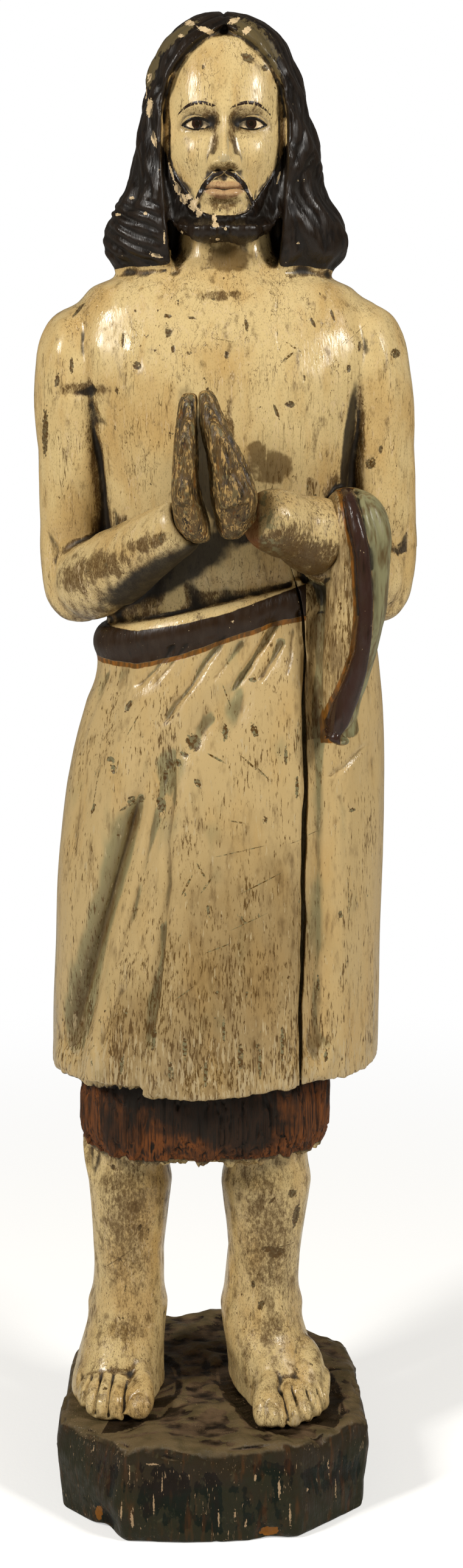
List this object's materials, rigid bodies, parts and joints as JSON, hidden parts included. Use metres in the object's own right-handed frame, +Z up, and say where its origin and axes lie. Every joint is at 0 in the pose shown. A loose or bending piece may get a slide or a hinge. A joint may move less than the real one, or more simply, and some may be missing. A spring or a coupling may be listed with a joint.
{
  "type": "santo statue",
  "caption": "Standing carved and painted wooden santo with long hair and beard, hands in prayer, wrapped skirt, cloth over one forearm, bare feet on a rough plinth.",
  "frame": {"origin": "on the plinth's underside, straight below the figure", "axes": "+Z up along the figure's height, the figure faces -Y, +X to the right of someone facing it"},
  "size_m": [0.2728, 0.2678, 1.1],
  "materials": {
    "painted_wood": "ivory oil paint under aged varnish, crazed along the grain and chipped; tan skirt, dark brown hair and beard, bare red-brown wood under the hem",
    "worn_hand": "handled wood with dark brown patina and flakes of the old cream and green paint",
    "plinth_wood": "rough hewn wood, dark brown paint with worn green at the lower front and pale streaks"
  },
  "bodies": {
    "root": {"figure": "painted_wood", "left_forearm": "painted_wood", "right_hand": "worn_hand", "left_hand": "worn_hand", "plinth": "plinth_wood"}
  },
  "joints": []
}
